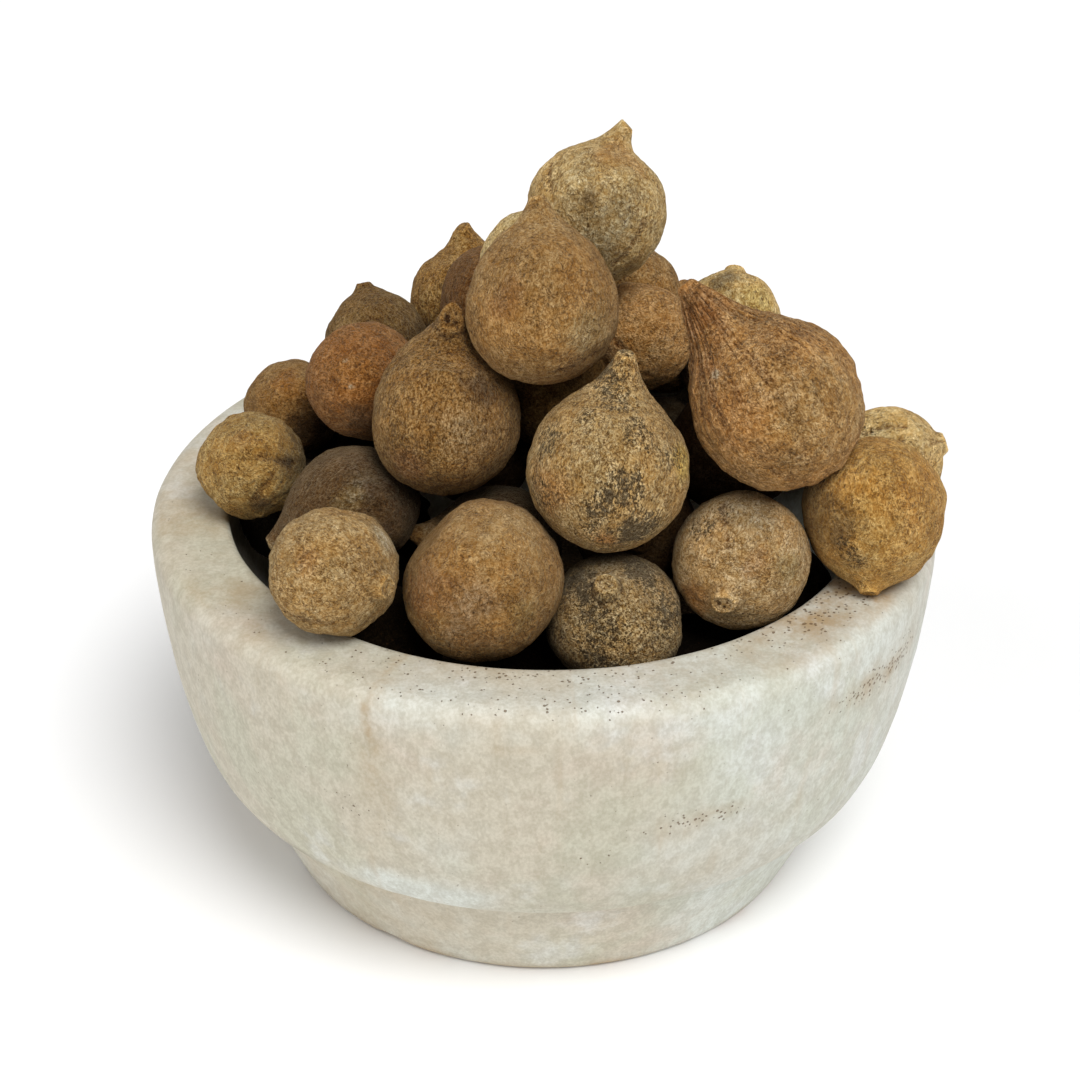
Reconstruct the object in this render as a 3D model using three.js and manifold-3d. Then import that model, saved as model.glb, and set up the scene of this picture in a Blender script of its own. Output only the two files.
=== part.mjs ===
// A bowl of dried belleric myrobalan: whole dried fruits heaped in a thick marble mortar bowl.
// Millimetres, +Z up. The origin is the middle of the foot's underside.
// The bowl is one turned solid. The heap is one solid, the top fruits joined to the packed mass
// below them.

import * as THREE from 'three';
import { mergeVertices } from 'three/addons/utils/BufferGeometryUtils.js';
import Module from 'manifold-3d';

// The bowl's outside, from the floor up
const FOOT_RADIUS = 52.3;        // at the floor
const FOOT_TOP_RADIUS = 62.3;    // under the groove
const FOOT_EDGE = 1.0;           // worn edge at the floor
const GROOVE_HEIGHT = 24;        // where the foot meets the body
const LIP_RADIUS = 64.6;         // the body's lower edge, just over the groove
const LIP_BEVEL = 0.8;
const BELLY_SWELL = 8.2;         // how far the belly rounds out from the lip
const BELLY_FLARE = 2.2;         // and how much further it leans out towards the rim
const BELLY_TOP = 67.7;          // height where the outside turns upright
const RIM_RADIUS = LIP_RADIUS + BELLY_SWELL + BELLY_FLARE;
const BOWL_HEIGHT = 75;
const SHOULDER_WIDTH = 3.8;      // the rounded outer edge of the rim
const SHOULDER_HEIGHT = 3.2;

// The bowl's inside
const MOUTH_RADIUS = 60.3;
const MOUTH_BEVEL = 0.8;
const HOLLOW_FLOOR = 20;         // height of the hollow's lowest point
const HOLLOW_FULLNESS = 2.4;     // 2 is a half ellipse, more is fuller

// The packed mass under the top fruits: a mound standing in the hollow
const GAP = 0.3;                 // clearance between the heap and the bowl
const MOUND_EDGE = 58;           // height where the mound leaves the bowl's wall
const MOUND_HEIGHT = 100;
const MOUND_POWER = 1.25;        // 1 is a cone, 2 is a dome

const BOWL_SIDES = 40;
const MOUND_SIDES = 18;
const BELLY_STEPS = 5;
const SHOULDER_STEPS = 3;
const HOLLOW_STEPS = 5;
const MOUND_STEPS = 4;

// One fruit
const TOP_FRUIT = { sides: 9, fill: 1.05 };     // fill makes up for the flat facets
const LOWER_FRUIT = { sides: 8, fill: 1.16 };   // these are pressed into each other
const RING_SPREAD = 1.4;         // above 1 brings the rings closer together at the stalk
const NECK_FILLET = 0.28;        // blend between body and neck, in body radii

// How a fruit ends at its stalk, in body radii. reach is from the body's centre to the stalk's
// scar, scar is half the width there, and slope is how fast the neck widens towards the body.
// A longer end takes more rings of facets. A buried fruit shows only its round side.
const ENDS = {
  buried: { reach: 1.04, scar: 0.14, slope: 0.3, rings: 4 },
  button: { reach: 1.04, scar: 0.14, slope: 0.3, rings: 6 },
  nub: { reach: 1.14, scar: 0.13, slope: 0.45, rings: 6 },
  short: { reach: 1.25, scar: 0.11, slope: 0.38, rings: 7 },
  neck: { reach: 1.46, scar: 0.11, slope: 0.5, rings: 8 },
  long: { reach: 1.68, scar: 0.13, slope: 0.5, rings: 8 },
  blunt: { reach: 1.6, scar: 0.15, slope: 0.7, rings: 8 },
  pear: { reach: 1.78, scar: 0.12, slope: 0.46, rings: 9 },
};

// The fruits, one row each: x, y and z of the body's centre, its width, its end at the stalk, and
// the compass turn and the rise of the stalk in degrees. Where they aren't 1 there follow the
// body's length for a width of 1, and how much longer its stalk half is than the other.
const CROWN = [
  [9.5, 5.5, 130.5, 25.8, 'short', 57, 64, 1.0, 0.96],
  [-0.5, -17.5, 121.5, 27.0, 'neck', 95, 63, 0.98, 1.15],
  [-1.5, 18.0, 114.0, 22.0, 'short', 80, 10],
  [40.5, -27.0, 108.0, 29.8, 'pear', 153, 47, 1.05],
  [17.5, 5.5, 105.0, 20.6, 'nub', 45, -30],
  [16.5, 32.0, 100.5, 21.4, 'short', 90, -10],
  [-18.0, -19.5, 100.5, 26.6, 'long', 85, 69, 1.0, 1.17],
  [-9.0, 33.0, 99.5, 23.0, 'short', 60, 50],
  [-33.5, -1.0, 99.0, 22.2, 'button', 120, -10],
  [11.0, -33.0, 98.0, 28.6, 'neck', 66, 70, 1.0, 1.05],
];
const SHOULDER = [
  [36.0, 11.0, 97.0, 21.0, 'button', 60, -30],
  [37.0, 33.5, 94.2, 20.8, 'button', 81, 46, 1.0, 1.05],
  [25.5, 48.0, 84.0, 22.4, 'short', 70, 30, 1.04],
  [5.5, 59.0, 87.0, 23.8, 'neck', 60, 15],
  [-17.5, 58.0, 86.0, 21.6, 'blunt', 88, 60, 1.0, 1.1],
  [-34.5, 43.0, 85.0, 21.6, 'nub', 117, 62],
  [-49.5, 17.5, 83.5, 19.0, 'button', 30, -20],
  [-55.0, -7.0, 84.5, 20.4, 'button', 60, -40, 0.98],
  [-35.2, -20.5, 83.2, 22.4, 'neck', 198, -17, 1.14],
  [-36.5, -47.5, 86.0, 22.8, 'button', -39, 8, 0.97],
  [-11.0, -43.0, 81.7, 28.2, 'button', 150, -60, 1.03],
  [12.5, -40.5, 71.6, 24.6, 'button', -106, 58, 0.9],
  [35.0, -34.5, 80.5, 24.8, 'button', -107, -4],
  [59.0, -29.0, 87.8, 25.6, 'nub', -98, -47, 1.0, 1.13],
  [63.6, -7.5, 85.6, 20.2, 'button', 4, 18, 1.0, 1.08],
  [51.0, 19.5, 84.5, 23.0, 'short', 100, 20],
];
const LOWER = [
  [2.0, -7.0, 100.0, 21.0, 'buried', -90, 10],
  [35.0, -9.0, 89.0, 24.0, 'buried', -20, 5],
  [3.0, 15.0, 92.5, 22.0, 'buried', 90, 10],
  [-28.0, 17.5, 87.0, 21.0, 'buried', 150, 30],
  [-13.0, 2.0, 84.0, 23.0, 'buried', -120, 0],
  [22.0, 6.0, 80.0, 22.0, 'buried', -80, 20],
  [4.5, 36.0, 80.5, 24.0, 'buried', 90, 20],
  [17.0, -18.0, 77.0, 23.0, 'buried', -90, 20],
  [36.0, 31.5, 71.0, 24.0, 'buried', 60, 30],
  [-21.0, 44.0, 68.0, 23.0, 'buried', 110, 40],
  [-40.5, 28.0, 69.0, 22.0, 'buried', 140, 30],
  [-49.0, 4.0, 68.0, 21.0, 'buried', 170, 30],
  [-30.0, -36.0, 67.0, 23.0, 'buried', -110, 20],
  [43.0, -20.0, 63.5, 22.0, 'buried', -40, 30],
];

const wasm = await Module();
wasm.setup();

function solidFrom(geometry) {
  geometry.deleteAttribute('normal');
  geometry.deleteAttribute('uv');
  const merged = mergeVertices(geometry);
  const vertProperties = new Float32Array(merged.attributes.position.array);
  const triVerts = new Uint32Array(merged.index.array);
  return new wasm.Manifold(new wasm.Mesh({ numProp: 3, vertProperties, triVerts }));
}

function geometryFrom(solid) {
  const mesh = solid.getMesh();
  const geometry = new THREE.BufferGeometry();
  geometry.setAttribute('position', new THREE.BufferAttribute(mesh.vertProperties, 3));
  geometry.setIndex(new THREE.BufferAttribute(mesh.triVerts, 1));
  geometry.computeVertexNormals();
  return geometry;
}

function point(out, up) {
  return new THREE.Vector2(out, up);
}

// A profile of (distance from the axis, height) turned about the upright axis
function turned(profile, sides) {
  const geometry = new THREE.LatheGeometry(profile, sides);
  geometry.rotateX(Math.PI / 2);
  return geometry;
}

function outsideProfile() {
  const points = [
    point(0, 0),
    point(FOOT_RADIUS - FOOT_EDGE, 0),
    point(FOOT_RADIUS + FOOT_EDGE / 2, FOOT_EDGE),
    point(FOOT_TOP_RADIUS, GROOVE_HEIGHT),
    point(LIP_RADIUS - LIP_BEVEL, GROOVE_HEIGHT),
  ];
  for (let i = 0; i <= BELLY_STEPS; i += 1) {
    const turn = (Math.PI / 2) * (i / BELLY_STEPS);
    const climb = 1 - Math.cos(turn);
    const out = LIP_RADIUS + BELLY_SWELL * Math.sin(turn) + BELLY_FLARE * climb;
    const foot = GROOVE_HEIGHT + LIP_BEVEL;
    points.push(point(out, foot + (BELLY_TOP - foot) * climb));
  }
  for (let i = 0; i <= SHOULDER_STEPS; i += 1) {
    const turn = (Math.PI / 2) * (i / SHOULDER_STEPS);
    const out = RIM_RADIUS - SHOULDER_WIDTH * (1 - Math.cos(turn));
    points.push(point(out, BOWL_HEIGHT - SHOULDER_HEIGHT * (1 - Math.sin(turn))));
  }
  return points;
}

// The hollow's wall, from startHeight down to the middle of the floor, drawn in by inset
function hollowProfile(startHeight, inset) {
  const top = BOWL_HEIGHT - MOUTH_BEVEL;
  const depth = top - HOLLOW_FLOOR - inset;
  const power = 2 / HOLLOW_FULLNESS;
  const start = Math.asin(Math.pow((top - startHeight) / depth, 1 / power));
  const points = [];
  for (let i = 0; i <= HOLLOW_STEPS; i += 1) {
    const turn = start + (Math.PI / 2 - start) * (i / HOLLOW_STEPS);
    const out = (MOUTH_RADIUS - inset) * Math.pow(Math.max(0, Math.cos(turn)), power);
    points.push(point(out, top - depth * Math.pow(Math.sin(turn), power)));
  }
  points[HOLLOW_STEPS].x = 0;
  return points;
}

function bowl() {
  const mouth = point(MOUTH_RADIUS + MOUTH_BEVEL, BOWL_HEIGHT);
  const hollow = hollowProfile(BOWL_HEIGHT - MOUTH_BEVEL, 0);
  return turned([...outsideProfile(), mouth, ...hollow], BOWL_SIDES);
}

// All that the heap has to keep clear of: the bowl with its walls thickened by the gap
function bowlClearance() {
  const outside = RIM_RADIUS + BELLY_SWELL;
  const top = BOWL_HEIGHT + GAP;
  const hollow = hollowProfile(BOWL_HEIGHT - MOUTH_BEVEL, GAP);
  const mouth = point(MOUTH_RADIUS + MOUTH_BEVEL - GAP, top);
  const profile = [point(0, 0), point(outside, 0), point(outside, top), mouth, ...hollow];
  return turned(profile, BOWL_SIDES);
}

function packedMass() {
  const wall = hollowProfile(MOUND_EDGE, 2 * GAP).reverse();
  const edge = wall[wall.length - 1].x;
  const mound = [];
  for (let i = 1; i <= MOUND_STEPS; i += 1) {
    const out = 1 - i / MOUND_STEPS;
    const up = MOUND_EDGE + (MOUND_HEIGHT - MOUND_EDGE) * (1 - Math.pow(out, MOUND_POWER));
    mound.push(point(edge * out, up));
  }
  return turned([...wall, ...mound], MOUND_SIDES);
}

// Distance from the body's centre to the skin, at an angle from the stalk, for a body radius of 1.
// The neck is a cone down to where it comes nearest to the centre, and rounds off from there.
function skinDistance(angle, end, length, crown) {
  const along = Math.cos(angle);
  const half = along > 0 ? length * crown : length;
  const body = 1 / Math.hypot(Math.sin(angle), along / half);
  const onCone = Math.min(angle, Math.atan(1 / end.slope));
  const ahead = Math.cos(onCone);
  const cone = (end.scar + end.slope * end.reach) / (Math.sin(onCone) + end.slope * ahead);
  const roundedOff = Math.cos(Math.min(angle - onCone, Math.PI / 2));
  const neck = Math.min(cone, end.reach / ahead) * roundedOff;
  const blend = Math.max(0, NECK_FILLET - Math.abs(body - neck));
  return Math.max(body, neck) + (blend * blend) / (4 * NECK_FILLET);
}

// A fruit about its own centre, with its stalk along +Z
function fruitSkin(width, end, length, crown, { sides, fill }) {
  const rings = end.rings;
  const radius = (width / 2) * fill;
  const positions = [0, 0, radius * skinDistance(0, end, length, crown)];
  for (let ring = 1; ring <= rings; ring += 1) {
    const angle = Math.PI * Math.pow(ring / (rings + 1), RING_SPREAD);
    const distance = radius * skinDistance(angle, end, length, crown);
    const out = distance * Math.sin(angle);
    for (let side = 0; side < sides; side += 1) {
      const turn = (2 * Math.PI * side) / sides;
      positions.push(out * Math.cos(turn), out * Math.sin(turn), distance * Math.cos(angle));
    }
  }
  positions.push(0, 0, -radius * length);

  const last = rings * sides + 1;
  const index = [];
  for (let side = 0; side < sides; side += 1) {
    const next = (side + 1) % sides;
    index.push(0, 1 + side, 1 + next);
    for (let ring = 1; ring < rings; ring += 1) {
      const upper = 1 + (ring - 1) * sides;
      const lower = upper + sides;
      index.push(upper + side, lower + side, lower + next);
      index.push(upper + side, lower + next, upper + next);
    }
    const lowest = 1 + (rings - 1) * sides;
    index.push(lowest + side, last, lowest + next);
  }
  const geometry = new THREE.BufferGeometry();
  geometry.setAttribute('position', new THREE.Float32BufferAttribute(positions, 3));
  geometry.setIndex(index);
  return geometry;
}

function placedFruit(row, fineness) {
  const [x, y, z, width, endName, turn, rise, length = 1, crown = 1] = row;
  const geometry = fruitSkin(width, ENDS[endName], length, crown, fineness);
  const turnAngle = THREE.MathUtils.degToRad(turn);
  const riseAngle = THREE.MathUtils.degToRad(rise);
  const stalk = new THREE.Vector3(
    Math.cos(riseAngle) * Math.cos(turnAngle),
    Math.cos(riseAngle) * Math.sin(turnAngle),
    Math.sin(riseAngle),
  );
  const upright = new THREE.Vector3(0, 0, 1);
  geometry.applyQuaternion(new THREE.Quaternion().setFromUnitVectors(upright, stalk));
  geometry.translate(x, y, z);
  return geometry;
}

function heap() {
  let solid = solidFrom(packedMass());
  for (const row of LOWER) {
    solid = solid.add(solidFrom(placedFruit(row, LOWER_FRUIT)));
  }
  for (const row of [...SHOULDER, ...CROWN]) {
    solid = solid.add(solidFrom(placedFruit(row, TOP_FRUIT)));
  }
  return geometryFrom(solid.subtract(solidFrom(bowlClearance())));
}

const marble = new THREE.MeshStandardMaterial({ color: 0xc8c4b6, roughness: 0.6, metalness: 0 });
const driedSkin = new THREE.MeshStandardMaterial({ color: 0x7a5a36, roughness: 0.9, metalness: 0 });

const bowlMesh = new THREE.Mesh(bowl(), marble);
bowlMesh.name = 'bowl';

const heapMesh = new THREE.Mesh(heap(), driedSkin);
heapMesh.name = 'heap';

const bowlOfFruit = new THREE.Group();
bowlOfFruit.add(bowlMesh, heapMesh);

export default bowlOfFruit;
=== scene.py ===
"""A bowl of dried belleric myrobalan: whole dried fruits heaped in a marble mortar bowl.

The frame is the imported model's: metres, +Z up, the middle of the foot's underside at the origin.
Sizes named here are in millimetres, and become metres where a mesh, a relief or the camera is
made.
"""

import math
from collections import namedtuple

import bpy
import numpy as np
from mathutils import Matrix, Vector

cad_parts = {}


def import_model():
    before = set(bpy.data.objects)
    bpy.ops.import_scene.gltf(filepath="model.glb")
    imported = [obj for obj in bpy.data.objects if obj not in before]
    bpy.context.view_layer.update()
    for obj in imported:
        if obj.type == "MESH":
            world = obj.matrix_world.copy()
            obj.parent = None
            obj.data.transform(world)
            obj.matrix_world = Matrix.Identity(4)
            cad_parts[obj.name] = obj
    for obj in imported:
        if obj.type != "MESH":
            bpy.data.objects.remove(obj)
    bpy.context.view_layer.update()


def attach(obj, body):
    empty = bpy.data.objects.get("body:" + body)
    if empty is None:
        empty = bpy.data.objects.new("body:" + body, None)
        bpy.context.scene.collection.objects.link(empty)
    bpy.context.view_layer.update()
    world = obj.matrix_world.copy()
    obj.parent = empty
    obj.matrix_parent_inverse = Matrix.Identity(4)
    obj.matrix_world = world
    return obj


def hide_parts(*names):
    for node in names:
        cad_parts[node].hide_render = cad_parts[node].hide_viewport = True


MM = 0.001

# The view and the light
CAMERA_PLACE = (-0.9, -392, 300)
CAMERA_DOWN = 31.07  # degrees below level
CAMERA_SENSOR = 36
CAMERA_LENS = 78.3
CAMERA_NEAR = 10  # nothing closer than this shows
KEY_FROM = (0.24, -0.50, 0.90)
KEY_SPREAD = 32  # degrees across, as seen from the bowl
KEY_STRENGTH = 2.6
FILL_FROM = (-0.80, -0.55, 0.45)
FILL_SPREAD = 60
FILL_STRENGTH = 0.75
SKY = 0.34
FLOOR_SIZE = 12000

# The bowl's outside, from the floor up
FOOT_RADIUS = 52.3
FOOT_TOP_RADIUS = 62.3
FOOT_EDGE = 1.0
GROOVE_HEIGHT = 24
LIP_RADIUS = 64.6
LIP_BEVEL = 0.8
BELLY_SWELL = 8.2
BELLY_FLARE = 2.2
BELLY_TOP = 67.7
RIM_RADIUS = LIP_RADIUS + BELLY_SWELL + BELLY_FLARE
BOWL_HEIGHT = 75
SHOULDER_WIDTH = 3.8
SHOULDER_HEIGHT = 3.2

# The bowl's inside
MOUTH_RADIUS = 60.3
MOUTH_BEVEL = 0.8
HOLLOW_FLOOR = 20
HOLLOW_FULLNESS = 2.4

BOWL_COLUMNS = 460
OUTSIDE_SPACING = 0.85  # between rings of vertices on what shows
INSIDE_SPACING = 2.4
PROFILE_STEP = 0.1  # between the points at which the profile is worn
SHOWN_INSIDE = 6  # how far the close rings go down the hollow
SHOWN_UNDER = 3  # and in under the foot
EDGE_WEAR = 0.45  # how far corners are rounded off

# Spots on the bowl's side: how strong, how much more in ragged patches, the middle as compass
# turn and height, and the size across and up
CRACKS = [
    (0.36, 1.2, (-113.3, 69.5), (0.7, 5)),
    (0.4, 0, (-96, 69.5), (0.8, 2.6)),
]
STAINS = [
    (0.35, 0, (-113.3, 66), (2.4, 9)),
    (0.25, 0, (-113.5, 54), (4, 12)),
    (0, 0.45, (-93, 67.8), (5, 0.9)),
    (0.3, 0.75, (-35.5, 62.5), (13, 3.4)),
    (0.4, 0, (-67, 48.5), (8, 1.8)),
]
PITS = [
    (0.4, 0, (-88, 74.5), (26, 1.5)),
    (2.0, 0, (-35.5, 62.5), (13, 3)),
    (0.8, 0, (-117, 48), (5, 2.4)),
    (1.4, 0, (-68, 48.3), (9, 1.8)),
    (0.9, 0, (-82, 42), (4, 1.5)),
    (0.9, 0, (-76, 64), (2, 1)),
]

# The marble's colours, as seen, 0 to 255
MARBLE = {
    "pale": (206, 209, 201),
    # used for painted shade too, and a painted highlight where there is less of it
    "beige_and_painted_light": (193, 186, 168),
    "streak": (186, 168, 140),
    # used for painted shade too
    "stain_and_shade": (164, 136, 94),
    # used for painted shadow and shade too
    "dirt_and_shade": (96, 76, 54),
    "pit": (108, 84, 56),
}
# Soft green, pink and white clouds in it: how close together, how rough, from and to which value
# of the noise, how strong at most, and the colour
CLOUDS = [
    (34, 0.6, (0.47, 0.66), 0.45, (186, 188, 168)),
    (47, 0.6, (0.52, 0.7), 0.35, (204, 188, 172)),
    (61, 0.65, (0.54, 0.72), 0.5, (214, 216, 213)),
]

# One fruit
RING_SPREAD = 1.6  # above 1 brings the rings closer together at the stalk
NECK_FILLET = 0.28  # blend between body and neck, in body radii
FLAT_SIDES = 7
TIP_WEAR = 0.08  # how far the scar's edge is rounded, in body radii
SCAR_SLANT = 1.3  # how much more a scar leans over than the bent neck it ends
SEEN = (80, 116)  # rings and sides of a fruit that shows
WRINKLED = (150, 250)  # of one whose wrinkles stand out
UNSEEN = (44, 64)  # of one in the layer below
GRAIN_APART = 60  # each fruit reads its own part of the grain, as far apart as this
EDGE_ON = 0.03  # keeps a place beyond a fruit's outline just on its shown side

# The core under the heap
CORE_RADIUS = 50
CORE_MIDDLE = 36  # the height of its middle
CORE_RISE = 13  # and from there to its top
CORE_FINENESS = (24, 60)

# How a fruit ends at its stalk, in body radii, and how high the stalk's scar stands on it in mm
End = namedtuple("End", "reach scar slope lift")
ENDS = {
    "buried": End(1.04, 0.14, 0.3, 0.5),
    "button": End(1.04, 0.165, 0.3, 0.42),
    "nub": End(1.14, 0.13, 0.6, 0.35),
    "knob": End(1.1, 0.15, 0.3, 0.75),
    "short": End(1.25, 0.11, 0.38, 0.25),
    "neck": End(1.46, 0.11, 0.5, 0.2),
    "long": End(1.58, 0.155, 0.45, 0.6),
    "blunt": End(1.6, 0.15, 0.7, 0.3),
    "pear": End(1.78, 0.12, 0.46, 0.2),
}

# Skin colours, as seen, 0 to 255
SKINS = {
    "cream": (230, 198, 138),
    "flax": (216, 184, 124),
    "wheat": (201, 168, 112),
    "sand": (186, 152, 104),
    "dune": (182, 147, 94),
    "pale": (168, 138, 92),
    "khaki": (174, 140, 90),
    "straw": (173, 137, 79),
    "fawn": (188, 142, 86),
    "tan": (176, 133, 80),
    "orange": (188, 145, 80),
    "ochre": (160, 121, 71),
    "hazel": (153, 114, 60),
    "umber": (140, 103, 56),
    "brown": (130, 92, 52),
    "rust": (144, 96, 50),
    "bark": (115, 75, 36),
    "olive": (116, 86, 46),
    "mauve": (94, 70, 43),
    "dark": (84, 68, 46),
}

LOWER_SKINS = ["olive", "mauve", "dark"]
BURNT = ((74, 50, 26), (70, 60, 44))  # soot where it is thin and where it is thick
SPECK = (66, 42, 22)

SHEEN = 0.22
# Painted shade: skins are darkened where neighbours shut them in, and more in the layer below
DEEP_SHADE = 0.9  # how much darker a skin is where its neighbours shut it in
LOWER_SHADE = 0.38  # and how much darker still in the layer below

# Colours of the patches on some fruits
PAINTS = {
    "grey": (122, 108, 82),
    # shade is painted shade, put where a fruit lies in shadow
    "shade": (84, 60, 38),
    "rust": (136, 86, 52),
    "orange": (172, 118, 60),
    "gold": (200, 164, 84),
    "olive": (134, 112, 66),
    "mauve": (134, 108, 82),
    "white": (196, 176, 140),
    "khaki": (160, 132, 86),
    "pale": (150, 122, 84),
    "cream": (190, 156, 104),
    "tan": (176, 133, 80),
}

# A fruit: name, x, y and z of the body's centre, width, end at the stalk, the stalk's compass
# turn and rise in degrees, skin, the body's length for a width of 1, and how many times as long
# its stalk half is as the other
Fruit = namedtuple("Fruit", "name x y z width end turn rise skin length crown", defaults=(1, 1))
FRUITS = [
    Fruit("peak", 9.5, 5.5, 130.5, 25.8, "short", 57, 64, "wheat", 1, 0.96),
    Fruit("high_front", -0.5, -17.5, 121.5, 27, "neck", 95, 63, "ochre", 0.98, 1.15),
    Fruit("behind_high", -1.5, 18, 114, 22, "short", 80, 10, "flax"),
    Fruit("big_pear", 40.5, -27, 108, 29.8, "pear", 153, 47, "fawn", 1.05),
    Fruit("under_peak", 17.5, 5.5, 105, 20.6, "nub", 45, -30, "fawn"),
    Fruit("behind_peak", 16.5, 32, 100.5, 21.4, "short", 90, -10, "ochre"),
    Fruit("left_pear", -18, -19.5, 100.5, 26.6, "long", 85, 69, "umber", 1, 1.17),
    Fruit("behind_left", -9, 33, 99.5, 23, "short", 60, 50, "bark"),
    Fruit("rusty", -33.5, -1, 99, 22.2, "button", 120, -10, "rust"),
    Fruit("front_pear", 11, -33, 98, 28.6, "neck", 66, 70, "dune"),
    Fruit("inside_right", 36, 11, 97, 21, "button", 60, -30, "brown"),
    Fruit("yellow_nub", 37, 33.5, 94.2, 20.8, "button", 81, 46, "flax", 1, 1.05),
    Fruit("back_middle", 25.5, 48, 84, 22.4, "short", 70, 30, "tan", 1.04),
    Fruit("back_neck", 5.5, 59, 87, 23.8, "neck", 60, 15, "ochre"),
    Fruit("back_pear", -17.5, 58, 86, 21.6, "blunt", 70, 62, "hazel", 1, 1.1),
    Fruit("back_nub", -34.5, 43, 85, 21.6, "nub", 117, 62, "olive"),
    Fruit("left_back", -49.5, 17.5, 83.5, 19, "button", 30, -20, "umber"),
    Fruit("left_lumpy", -55, -7, 84.5, 20.4, "button", 60, -40, "straw", 0.98),
    Fruit("left_lying", -35.2, -20.5, 83.2, 22.4, "neck", 198, -17, "mauve", 1.14),
    Fruit("left_pale", -36.5, -47.5, 86, 22.8, "button", -39, 8, "khaki", 0.97),
    Fruit("front_round", -11, -43, 81.4, 28.2, "button", 150, -60, "ochre", 1.06),
    Fruit("front_sooty", 12.5, -40.5, 71.6, 24.6, "knob", -106, 58, "pale", 0.9),
    Fruit("front_right", 35, -34.5, 80.5, 24.8, "button", -107, -4, "sand"),
    Fruit("right_rim", 59, -29, 87.8, 25.6, "nub", -98, -47, "orange", 1, 1.13),
    Fruit("right_nub", 63.6, -7.5, 85.6, 20.2, "button", 4, 18, "cream", 1, 1.08),
    Fruit("right_back", 51, 19.5, 84.5, 23, "short", 100, 20, "tan"),
    Fruit("dark_stalk", -8.3, -19.1, 74.2, 22.8, "neck", 185, 12, "mauve"),
]
# The layer below, as x, y, z, width, stalk turn and stalk rise
LOWER_FRUITS = [
    (2, -7, 100, 21, -90, 10),
    (35, -9, 89, 24, -20, 5),
    (3, 15, 92.5, 22, 90, 10),
    (-28, 17.5, 87, 21, 150, 30),
    (-13, 2, 84, 23, -120, 0),
    (22, 6, 80, 22, -80, 20),
    (4.5, 36, 80.5, 24, 90, 20),
    (17, -18, 77, 23, -90, 20),
    (36, 31.5, 71, 24, 60, 30),
    (-21, 44, 68, 23, 110, 40),
    (-40.5, 28, 69, 22, 140, 30),
    (-49, 4, 68, 21, 170, 30),
    (-30, -34, 62, 23, -110, 20),
    (43, -20, 63.5, 22, -40, 30),
    (-32, -6, 67, 22, 20, 40),
    (0, -26, 54, 24, -70, 20),
    (26, -34, 54.5, 23, -60, 30),
    (12.5, 48, 66, 22, 80, 10),
    (-16, 34, 79, 21, 100, 30),
]

# The shapes that differ from a plain fruit's. angles is how far the five blunt angles stand out,
# lumps how uneven the body is and flats how deep its flattened sides are, all in body radii.
# wrinkle is in millimetres, lengthwise on the neck, and fades to body_wrinkle round the body.
# bend is how far the neck turns over, in degrees, and to which side, as x, y and z.
Shape = namedtuple("Shape", "angles lumps flats wrinkle body_wrinkle bend", defaults=((0, 0, 0),))
PLAIN = Shape(0.012, 0.038, 0.02, 0.16, 0.08)
SHAPES = {
    "big_pear": Shape(0.008, 0.03, 0, 1, 0.3),
    "peak": Shape(0.012, 0.026, 0.02, 0.2, 0.14, (14, 0, 0)),
    "high_front": Shape(0.01, 0.026, 0.01, 0.15, 0.1),
    "left_pear": Shape(0.01, 0.028, 0.01, 0.15, 0.1, (6, -33, 12)),
    "front_round": Shape(0.012, 0.032, 0.02, 0.15, 0.1),
    "left_lumpy": Shape(0.03, 0.055, 0.03, 0.35, 0.25),
    "left_pale": Shape(0.016, 0.042, 0.05, 0.3, 0.18),
    "left_lying": Shape(0.03, 0.05, 0.04, 0.2, 0.1),
    "right_nub": Shape(0.024, 0.035, 0.02, 0.4, 0.2),
    "yellow_nub": Shape(0.02, 0.03, 0.02, 0.2, 0.14),
    "under_peak": Shape(0.04, 0.035, 0.03, 0.25, 0.12),
    "front_sooty": Shape(0.014, 0.04, 0.04, 0.2, 0.2),
    "front_right": Shape(0.012, 0.03, 0.03, 0.15, 0.1),
    "rusty": Shape(0.016, 0.036, 0.03, 0.2, 0.08),
    "front_pear": Shape(0.01, 0.022, 0.01, 0.2, 0.1, (0, -12, 0)),
    "back_pear": Shape(0.012, 0.038, 0.02, 0.2, 0.1, (-18, -12, 0)),
}

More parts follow.
